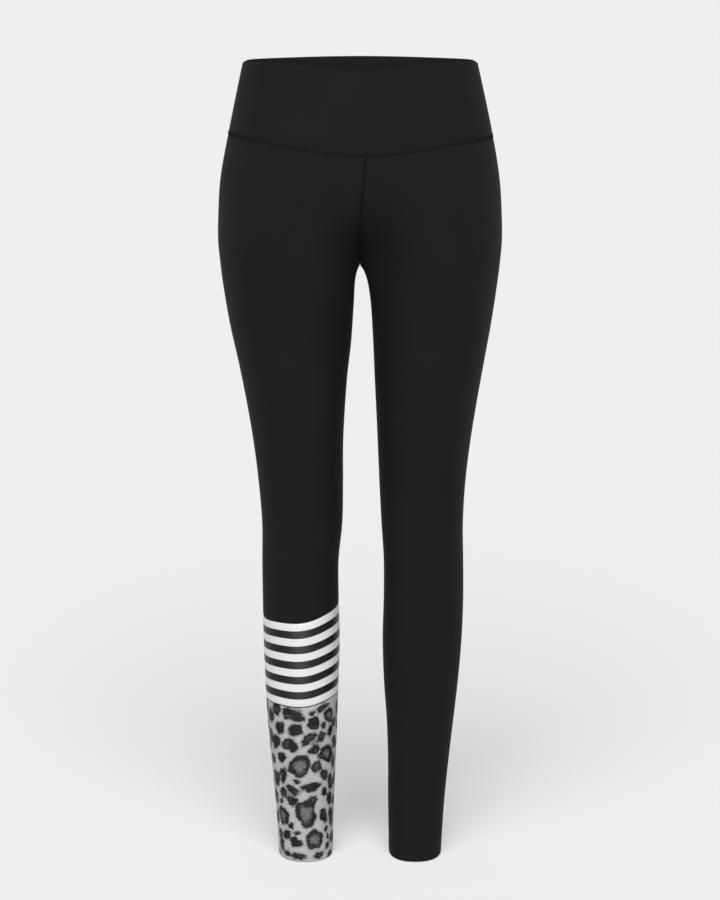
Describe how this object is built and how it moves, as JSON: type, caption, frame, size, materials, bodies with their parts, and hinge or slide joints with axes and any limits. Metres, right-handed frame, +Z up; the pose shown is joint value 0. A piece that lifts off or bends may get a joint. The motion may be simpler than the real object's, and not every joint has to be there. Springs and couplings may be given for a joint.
{
  "type": "leggings",
  "caption": "High-waisted full-length leggings, hollow and filled out as worn, with a striped and a leopard-spotted panel round the wearer's right lower leg.",
  "frame": {"origin": "centre of the waist opening, level with the waistband's top edge at the sides", "axes": "+Z up, the front faces -Y, the wearer's left is +X and the printed leg is at -X"},
  "size_m": [0.3261, 0.245, 0.9567],
  "materials": {
    "black_knit": "matt fine stretch knit",
    "stripe_print": "smooth printed stretch knit, white with black stripes, slight sheen",
    "spot_print": "smooth printed stretch knit, light grey with dark animal spots, slight sheen"
  },
  "bodies": {
    "root": {"waistband_front": "black_knit", "waistband_back": "black_knit", "leg_left_front": "black_knit", "leg_left_back": "black_knit", "leg_right_front": "black_knit", "leg_right_back": "black_knit", "stripe_panel_front": "stripe_print", "stripe_panel_back": "stripe_print", "spot_panel_front": "spot_print", "spot_panel_back": "spot_print"}
  },
  "joints": []
}
